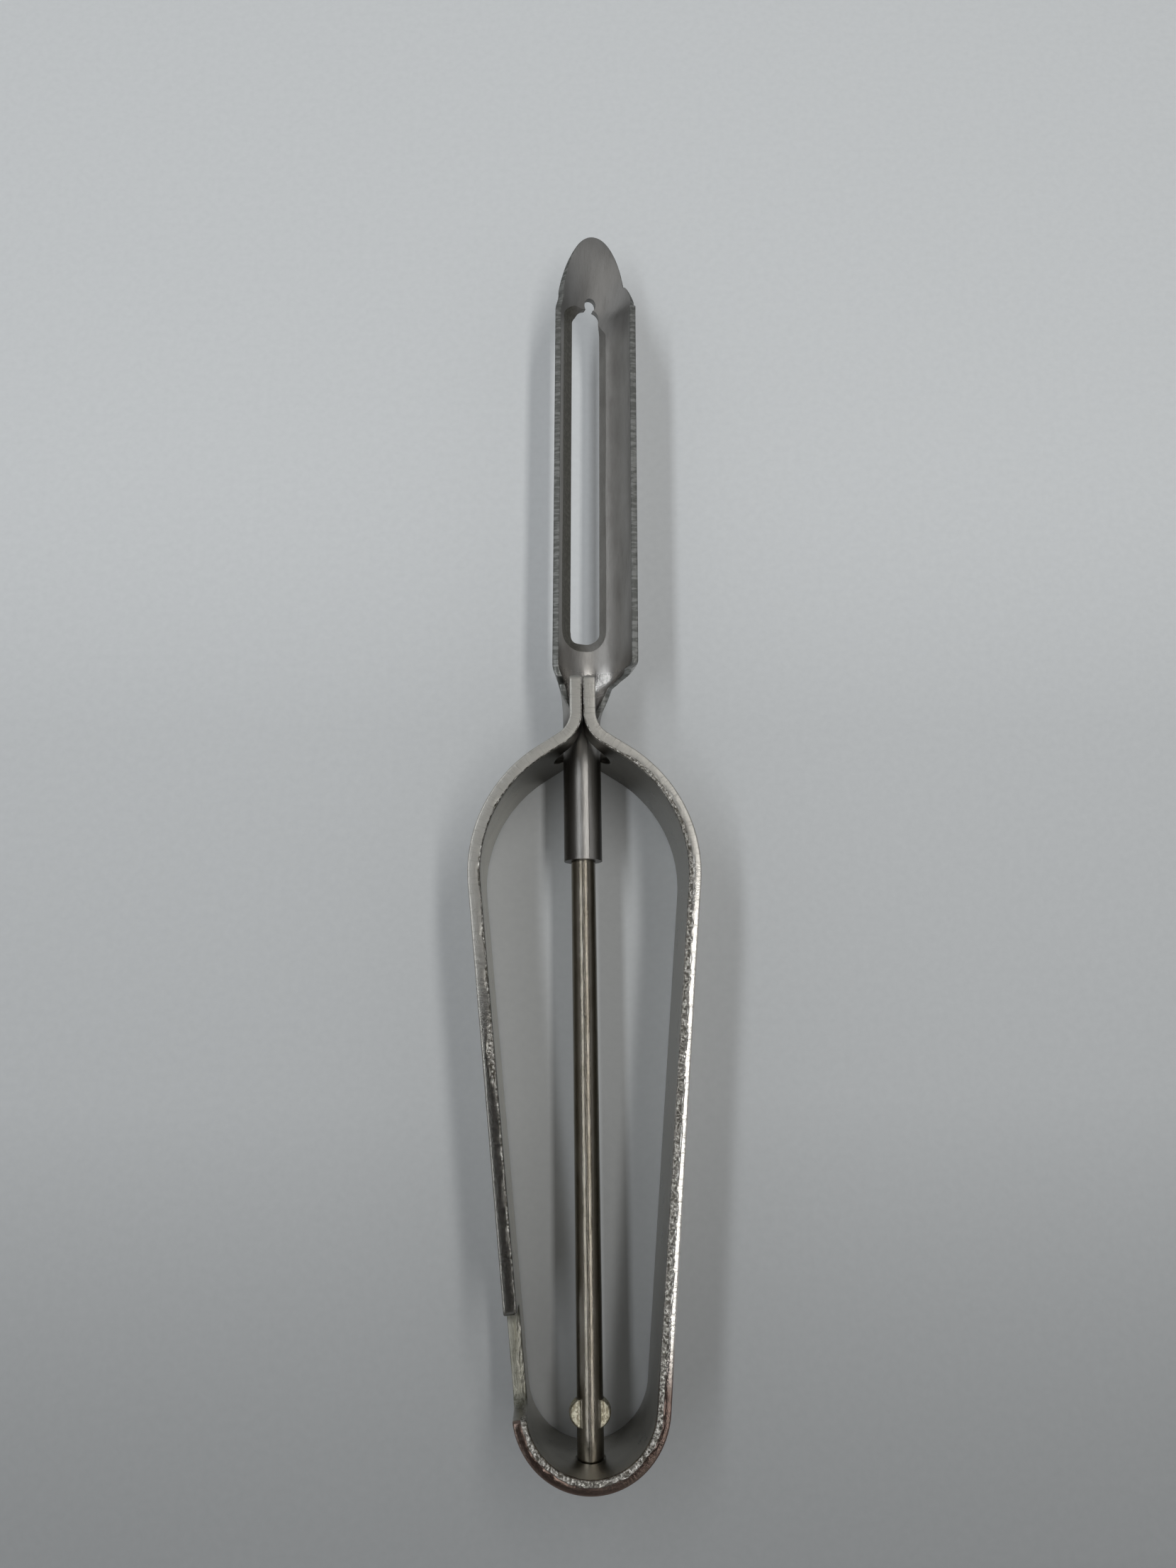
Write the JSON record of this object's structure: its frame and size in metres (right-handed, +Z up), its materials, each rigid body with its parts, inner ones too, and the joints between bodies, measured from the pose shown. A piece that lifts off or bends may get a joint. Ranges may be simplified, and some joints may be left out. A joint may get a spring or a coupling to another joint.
{
  "type": "apple peeler corer",
  "caption": "Swivel-blade peeler with a pointed coring trough on a rod, held in a bent steel strip loop handle.",
  "frame": {"origin": "centre of the tool's outline seen from above, on the surface it lies on", "axes": "+Y along the tool to the blade's tip, +Z up off the table through the width of the handle strip, +X to the taller wall of the blade"},
  "size_m": [0.0308, 0.1736, 0.0159],
  "materials": {
    "handle_strip": "worn nickel plate over steel, tumbled edges",
    "blade": "satin stamped steel, dulled with use",
    "pivot_rod": "drawn steel wire, tarnished"
  },
  "bodies": {
    "handle": {"handle_strip": "handle_strip"},
    "blade_and_rod": {"blade": "blade", "pivot_rod": "pivot_rod"}
  },
  "joints": [
    {"name": "blade_swivel", "type": "hinge", "parent": "handle", "child": "blade_and_rod", "pos_m": [0, 0.0092, 0.00795], "axis": [0, 1, 0], "range_deg": [-38, 2]}
  ]
}
